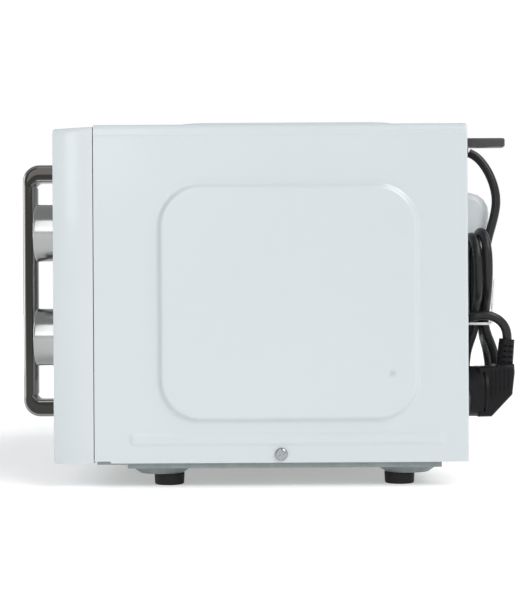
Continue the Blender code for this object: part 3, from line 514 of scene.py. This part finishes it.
def fold(x, z, r, y0, y1, start, end, steps):
    points = []
    for i in range(steps + 1):
        t = i / steps
        a = math.radians(start + (end - start) * t)
        points.append((x + r * math.cos(a), y0 + (y1 - y0) * t, z + r * math.sin(a)))
    return points


def cord_route():
    """From the gland, down behind the hank, through its folds, and out over its waist to the plug."""
    knots = [(165, 160.0, 242.0), (165.3, 162.6, 241.2), (166.6, 168.6, 235.8), (168.4, 174.6, 226.0)]
    knots += [(169.9, 178.6, 214.0), (170.4, 179.4, 203.0), (170.9, 176.8, 190.5), (172.0, 172.8, 177.0)]
    knots += [(173.2, 169.8, 161.0), (174.0, 168.8, 144.0)]
    for y, low, top in ((168.8, 177.5, 182.0), (161.9, 155.0, 178.5)):
        step = low - y
        knots += [(174.0, y, 127.5), (172.4, y, 115.5), (164.5, y + 0.1 * step, 108.0)]
        knots += [(153.0, y + 0.4 * step, 102.5), (145.4, y + 0.8 * step, 93.0)]
        knots += fold(159.5, 81.5, 16.0, low, low, 180, 360, 6)
        knots += [(176.6, y + 0.8 * step, 95.0), (178.4, y + 0.3 * step, 105.5), (179.4, y, 114.0)]
        knots += [(181.2, y, 121.5), (189.5, y, 130.0), (200.0, y - 0.6, top - 43)]
        knots += [(208.0, y - 1.2, top - 32)]
        knots += fold(191.9, top - 17.9, 17.9, y - 1.6, y - 6.9, 0, 180, 6)
        knots += [(174.0, y - 6.9, 144.0)]
    knots += [(174.0, 155.0, 127.5), (172.4, 155.0, 115.5), (164.5, 153.6, 108.0), (153.0, 150.4, 102.5)]
    knots += [(146.4, 148.6, 93.0)]
    knots += fold(163.5, 82.5, 15.5, 148.2, 146.4, 180, 350, 5)
    knots += [(181.4, 143.4, 95.0), (184.6, 143.0, 104.5), (189.5, 145.4, 112.0), (196.0, 151.4, 117.6)]
    knots += [(200.0, 160.5, 120.8), (200.8, 170.0, 121.0), (199.6, 178.3, 116.4), (197.9, 182.4, 109.6)]
    knots += [(197.5, 182.6, 102.0)]
    return smooth(knots, 6, 6)


def tube(name, line, diameter):
    curve = bpy.data.curves.new(name, "CURVE")
    curve.dimensions = "3D"
    curve.bevel_depth = diameter / 2 * MM
    curve.bevel_resolution = 5
    curve.use_fill_caps = True
    spline = curve.splines.new("POLY")
    spline.points.add(len(line) - 1)
    for point, place in zip(spline.points, line):
        point.co = (*(c * MM for c in place), 1.0)
    spline.use_smooth = True
    obj = bpy.data.objects.new(name, curve)
    bpy.context.scene.collection.objects.link(obj)
    return obj


def plug_piece():
    """The moulded plug: a grooved disc, an angled block and a slotted strain relief."""
    body = bevelled(copied("plug", "fine_plug"), 0.5, 2, 40)
    lean = Matrix.Translation(Vector((PLUG_X, 180.6, 86.0)) * MM) @ Matrix.Rotation(-0.1, 4, "X")
    for side in (-1, 1):
        for row in range(4):
            for column in (-1, 1):
                z = 1.2 + 3.9 * row
                y = 2.7 * column
                lo = (side * 6.2 - 3.4, y - 2.1, z - 0.8)
                hi = (side * 6.2 + 3.4, y + 2.1, z + 0.8)
                slot = block("slot", lo, hi)
                slot.data.transform(lean)
                cut(body, slot)
        for k in range(5):
            y = 168.5 + 3.0 * k
            lo = (PLUG_X + side * 13.6 - 1.2, y, 62.0 + 1.6 * k)
            hi = (PLUG_X + side * 13.6 + 1.2, y + 1.0, 82.0)
            cut(body, block("groove", lo, hi))
    profile = [(17.0, 0), (17.0, 1.2), (19.5, 1.2), (19.5, 0), (17.0, 0)]
    ring = lathe("ring", profile, (PLUG_X, 163.4, PLUG_Z), "Y", 48)
    cut(body, ring)
    shade(body, 35)
    dress(body, "black_plastic", "case", "black_plastic", "plug")
    pins = []
    for side in (-1, 1):
        x = PLUG_X + side * 9.5
        profile = [(0, 135.9), (1.7, 135.9), (2.46, 136.9), (2.46, 153.3), (0, 153.3)]
        pins.append(lathe("pin", profile, (x, 0, PLUG_Z), "Y", 24))
    return body, pins


def twist_tie():
    """A paper-covered wire wound round the waist of the hank, with its twisted ends."""
    ring = []
    for a, b in rounded(6.0, 167.9, 150.7, 184.1, 173.3, 8):
        ring.append((a, b, 114.5))
    rings = []
    flat = [(-0.35, -0.9), (0.35, -0.9), (0.35, 0.9), (-0.35, 0.9)]
    count = len(ring)
    for i, (x, y, z) in enumerate(ring):
        ahead, back = ring[(i + 1) % count], ring[i - 1]
        along = Vector((ahead[0] - back[0], ahead[1] - back[1], 0)).normalized()
        side = Vector((along.y, -along.x, 0))
        rings.append([(x + side.x * u, y + side.y * u, z + 0.25 * (x - 176) / 8 + v) for u, v in flat])
    loop = loft("loop", rings, closed=True)
    tails = []
    for turn, lift in ((0.0, 33.0), (math.pi, 15.0)):
        rings = []
        for k in range(40):
            t = k / 39
            spin = turn + 9.0 * min(t, 0.35) + 0.6 * t
            x = 184.7 + 0.9 * math.cos(spin) + 1.5 * t
            y = 172.9 + 0.7 * math.sin(spin) * (1 - 0.6 * t) + (1.0 if turn else 2.9) * t
            z = 114.5 + lift * t
            c, s = math.cos(spin), math.sin(spin)
            rings.append([(x + c * u * 4 - s * v * 0.7, y + s * u * 4 + c * v * 0.7, z) for u, v in
                          ((-0.08, -0.9), (0.08, -0.9), (0.08, 0.9), (-0.08, 0.9))])
        tails.append(loft("tail", rings))
    tie = shade(joined("fine_tie", [loop] + tails), 50)
    return dress(tie, "white_tie", "case", "white_tie", "cord_tie")


def gland_piece():
    """The ribbed strain relief in the rear panel."""
    profile = [(0, -4.0), (5.8, -4.0), (5.8, -0.6), (8.5, 0.3), (8.5, 1.6), (7.6, 2.4)]
    for k in range(6):
        h, r = 3.4 + 3.4 * k, 6.6 - 0.42 * k
        profile += [(r, h), (r, h + 2.0), (r - 0.9, h + 2.3), (r - 0.9, h + 3.1)]
    profile += [(4.0, 25.0), (3.6, 25.6), (0, 25.6)]
    gland = shade(lathe("fine_gland", profile, GLAND, "Y", 40), 30)
    return dress(gland, "black_plastic", "case", "black_plastic", "cord_gland")


def cord_set():
    line = cord_route()
    cord = tube("mains_cord", line, CORD_D)
    dress(cord, "cord_pvc", "case", "cord_pvc", "cord_lead", "cord_hank", "cord_tail")
    plug, pins = plug_piece()
    pin = shade(joined("plug_pins", pins), 35)
    dress(pin, "screw_steel", "case", "screw_steel")
    tie = twist_tie()
    gland_piece()


# Cabinet


def lines(*spans):
    """Grid lines in mm from (start, end, step) spans that follow on from one another."""
    marks = []
    for start, end, step in spans:
        count = max(int(round((end - start) / step)), 1)
        marks += list(np.linspace(start, end, count + 1))[:-1]
    return marks + [spans[-1][1]]


def raised(a, b, a0, b0, a1, b1, radius, height, slope):
    """How high a pressed, rounded rectangle stands at (a, b)."""
    da = abs(a - (a0 + a1) / 2) - (a1 - a0) / 2 + radius
    db = abs(b - (b0 + b1) / 2) - (b1 - b0) / 2 + radius
    far = math.hypot(max(da, 0), max(db, 0)) + min(max(da, db), 0) - radius
    t = min(max(-far / slope, 0.0), 1.0)
    return height * t * t * (3 - 2 * t)


def cabinet():
    """The pressed wrapper: side pads, lower beads, a raised top and a rolled rear edge."""
    ys = lines((SEAM_Y, -103.1, 5.6), (-103.1, -102.5, 0.6), (-102.5, -91, 6), (-91, -86, 0.7), (-86, -72, 7),
               (-72, -33, 1.1), (-33, 80, 8), (80, 120, 1.1), (120, 129, 4.5), (129, 135.5, 0.7),
               (135.5, 148.5, 6), (148.5, REAR_Y, 0.4))
    up = lines((17.5, 19, 0.5), (19, 28, 3), (28, 41, 0.5), (41, 44, 3), (44, 81, 1.1), (81, 182, 8),
               (182, 218, 1.1), (218, 249, 7), (249, 252.5, 0.35))
    over = lines((-214, -177, 6), (-177, -137, 1.2), (-137, 137, 10), (137, 177, 1.2), (177, 214, 6))
    path = [(-HALF_W, z, -1.0, 0.0) for z in up]
    for k in range(1, 8):
        a = math.radians(180 - 90 * k / 8)
        path.append((-214 + 6 * math.cos(a), 252.5 + 6 * math.sin(a), math.cos(a), math.sin(a)))
    path += [(x, 258.5, 0.0, 1.0) for x in over]
    path += [(-x, z, -nx, nz) for x, z, nx, nz in reversed(path[len(up):len(up) + 7])]
    path += [(HALF_W, z, 1.0, 0.0) for z in reversed(up)]
    outer, inner = [], []
    for y in ys:
        roll = 1.6 - math.sqrt(max(1.6**2 - max(y - (REAR_Y - 1.6), 0.0) ** 2, 0.0))
        for x, z, nx, nz in path:
            if y < -103.0 and z < 28.0:
                z += 1.4 * (28.0 - z) / 10.5
            if abs(nx) > 0.99:
                lift = raised(y, z, -69.3, 46.0, 117.3, 216.0, 31.0, 3.0, 3.8)
                lift += raised(y, z, -89.9, 28.9, 134.5, 39.5, 4.0, 0.8, 3.2)
                lift += 0.25 * math.exp(-((z - 251.0) / 0.7) ** 2)
            elif nz > 0.99:
                lift = raised(x, y, -175, -66, 175, 115, 30, 6.5, 6.5)
            else:
                lift = 0.0
            lift -= min(roll, 1.3)
            outer.append((x + nx * lift, y, z + nz * lift))
            inner.append((x + nx * (lift - 1.0), y, z + nz * (lift - 1.0)))
    n, rows = len(path), len(ys)
    total = n * rows
    faces = []
    for r in range(rows - 1):
        for i in range(n - 1):
            a, b = r * n + i, (r + 1) * n + i
            faces.append((a, a + 1, b + 1, b))
            faces.append((total + a, total + b, total + b + 1, total + a + 1))
    for r in range(rows - 1):
        for i in (0, n - 1):
            a, b = r * n + i, (r + 1) * n + i
            faces.append((a, b, total + b, total + a))
    for i in range(n - 1):
        for r in (0, rows - 1):
            a = r * n + i
            faces.append((a, total + a, total + a + 1, a + 1))
    skin = outward(obj_from("fine_cabinet", [Vector(v) * MM for v in outer + inner], faces))
    return dress(shade(skin, 40), "white_paint", "case", "white_paint", "cabinet")


def side_screw(side):
    """A pan head screw with a cross recess."""
    sign = 1 if side == "right" else -1
    lo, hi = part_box("side_screw_" + side)
    top = max(abs(lo[0]), abs(hi[0])) / MM
    shank = min(abs(lo[0]), abs(hi[0])) / MM
    profile = [(0, shank), (1.6, shank), (1.9, shank + 0.5), (1.9, HALF_W + 0.3), (4.5, HALF_W + 0.3)]
    for k in range(7):
        a = math.radians(15 * k)
        profile.append((3.0 + 1.5 * math.cos(a), HALF_W + 0.6 + (top - HALF_W - 0.75) * math.sin(a)))
    profile.append((0, top))
    head = lathe("fine_side_screw_" + side, [(r, sign * h) for r, h in profile], SCREW, "X", 40)
    for turn in (0.35, 0.35 + math.pi / 2):
        slot = block("slot", (-1.7, -2.7, -0.7), (1.6, 2.7, 0.7))
        place = Matrix.Translation(Vector((sign * top, *SCREW[1:])) * MM)
        slot.data.transform(place @ Matrix.Rotation(turn, 4, "X"))
        cut(head, slot)
    return dress(shade(head, 35), "dull_steel", "case", "screw_steel", "side_screw_" + side)


# Handle, knobs and dial marks


def handle():
    """A flat bar with rounded edges, bent into a loop."""
    lo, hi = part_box("handle")
    low, high = lo[2] / MM, hi[2] / MM
    base, front = hi[1] / MM, lo[1] / MM
    x0, x1 = lo[0] / MM, hi[0] / MM
    leg, bar, big, small = HANDLE_LEG, HANDLE_BAR, HANDLE_OUTER_R, HANDLE_INNER_R
    # The inner corner arcs fit an 8 mm bar, so each folds over slightly where it meets this thicker one.
    pairs = [((y, low), (y, low + leg)) for y in np.linspace(base, front + big, 8)[:-1]]
    for k in range(15):
        a = math.radians(270 - 90 * k / 14)
        c, s = math.cos(a), math.sin(a)
        outer = (front + big + big * c, low + big + big * s)
        pairs.append((outer, (front + big + small * c, low + leg + small + small * s)))
    pairs += [((front, z), (front + bar, z)) for z in np.linspace(low + 17.0, high - 17.0, 24)]
    tail = [((oy, low + high - oz), (iy, low + high - iz)) for (oy, oz), (iy, iz) in reversed(pairs[:22])]
    rings = []
    for (oy, oz), (iy, iz) in pairs + tail:
        out, inn = Vector((0, oy, oz)), Vector((0, iy, iz))
        thick = (inn - out).length
        way = (inn - out) / thick
        rings.append([(x, *(out + way * t)[1:]) for x, t in section(x0, x1, thick)])
    bar_piece = loft("fine_handle", rings)
    return dress(shade(bar_piece, 50), "chrome", "door", "chrome", "handle")


def section(x0, x1, thick):
    """The cross-section of the handle bar: fuller at its outer edges than at its inner ones."""
    points = []
    corners = ((x1 - 3.4, 3.4, 3.4, -90), (x1 - 2.2, thick - 2.2, 2.2, 0), (x0 + 2.2, thick - 2.2, 2.2, 90),
               (x0 + 3.4, 3.4, 3.4, 180))
    for x, t, r, start in corners:
        for k in range(7):
            a = math.radians(start + 15 * k)
            points.append((x + r * math.cos(a), t + r * math.sin(a)))
    return points


def knob(kind, pointer):
    """A plated knob with a bright rim, a shallow face and a dark pointer line."""
    z = KNOBS[kind]
    back, front = -144.1, -162.5
    profile = [(3.3, back), (20.7, back), (21.1, back - 0.4), (21.1, back - 1.9), (20.6, back - 2.2),
               (20.6, back - 2.8), (21.1, back - 3.1), (21.2, front + 1.5), (21.15, front + 1.0),
               (20.95, front + 0.5), (20.55, front + 0.15), (20.0, front), (19.0, front), (18.2, front + 0.1),
               (17.6, front + 0.6), (12.0, front + 0.8), (0, front + 0.9), (0, back - 14.0),
               (3.3, back - 14.0), (3.3, back)]
    cap = lathe("fine_" + kind + "_knob", profile, (KNOB_X, 0, z), "Y", 96)
    body = kind + "_control"
    dress(shade(cap, 40), "knob_chrome", body, "chrome", kind + "_knob")
    mark = block(kind + "_pointer", (-0.9, front + 0.35, 6.5), (0.9, front + 1.1, 16.4))
    bevelled(mark, 0.25, 2)
    place = Matrix.Translation((KNOB_X * MM, 0, z * MM))
    mark.data.transform(place @ Matrix.Rotation(math.radians(pointer), 4, "Y"))
    dress(shade(mark, 40), "print", body, "black_plastic")


def number(body, x, z, size):
    curve = bpy.data.curves.new("number", "FONT")
    curve.body = body
    curve.size = size * MM
    curve.extrude = 0.06 * MM
    curve.align_x = "CENTER"
    curve.align_y = "CENTER"
    obj = bpy.data.objects.new("number", curve)
    bpy.context.scene.collection.objects.link(obj)
    graph = bpy.context.evaluated_depsgraph_get()
    mesh = bpy.data.meshes.new_from_object(obj.evaluated_get(graph))
    bpy.data.objects.remove(obj, do_unlink=True)
    place = Matrix.Translation((x * MM, (FRONT_Y - 0.02) * MM, z * MM))
    mesh.transform(place @ Matrix.Rotation(math.pi / 2, 4, "X"))
    made = bpy.data.objects.new("number", mesh)
    bpy.context.scene.collection.objects.link(made)
    return made


def dial_marks():
    """Printed ticks and numbers round the two knobs."""
    pieces = []
    for kind, start, sweep, steps, each in (("power", -120, 240, 25, 5), ("timer", 0, 320, 30, 5)):
        z = KNOBS[kind]
        for k in range(steps + 1):
            turn = math.radians(start + sweep * k / steps)
            long = k % each == 0
            width, reach = (0.45, 3.0) if long else (0.22, 1.6)
            tick = block("tick", (-width, FRONT_Y - 0.08, 27.4), (width, FRONT_Y + 0.1, 27.4 + reach))
            place = Matrix.Translation((KNOB_X * MM, 0, z * MM)) @ Matrix.Rotation(turn, 4, "Y")
            tick.data.transform(place)
            pieces.append(tick)
            if long:
                label = str(k // each + 1) if kind == "power" else str(k)
                pieces.append(number(label, KNOB_X + 34.4 * math.sin(turn), z + 34.4 * math.cos(turn), 5.6))
    marks = joined("dial_marks", pieces)
    dress(marks, "print", "case", "black_plastic")


# The rest of the CAD nodes


FINE = {
    "control_panel": (0.25, None), "door_frame": (0.25, None), "rear_panel": (0.0, "rear_paint_lightened"),
    "rear_spacer": (0.8, None), "base_plate": (0.0, None), "cavity": (0.0, "enamel"),
    "choke_cover": (0.5, None), "glass_tray": (0.4, None), "coupler": (0.4, None),
    "roller_ring": (0.4, None), "roller_1": (0.4, None), "roller_2": (0.4, None), "roller_3": (0.4, None),
    "latch_hooks": (0.3, None), "foot_front_left": (0.5, None), "foot_front_right": (0.5, None),
    "foot_rear_left": (0.5, None), "foot_rear_right": (0.5, None), "transformer_coil": (1.5, "amber_coil"),
    "magnetron": (0.3, None), "capacitor": (1.5, None), "fan_motor": (0.6, None), "fan_shroud": (0.3, None),
    "air_duct": (0.3, None), "power_selector": (0.6, None), "timer_unit": (0.6, None),
}


def rest_of_frame():
    bodies = frame["record"]["behaviour"]["bodies"]
    owner = {node: body for body, members in bodies.items() for node in members}
    for node, obj in NODES.items():
        slot = obj.data.materials[0].name.split(".")[0]
        for k in range(len(obj.material_slots)):
            obj.data.materials[k] = slot_material(FINE.get(node, (0, None))[1] or slot)
        if node in FINE:
            width, look = FINE[node]
            piece = copied(node)
            if width:
                bevelled(piece, width, 2, 35)
            dress(shade(piece, 32), look or slot, owner[node], slot, node)


camera()
cord_set()
studio()
cabinet()
side_screw("left")
side_screw("right")
handle()
knob("power", -120)
knob("timer", 0)
dial_marks()
rest_of_frame()
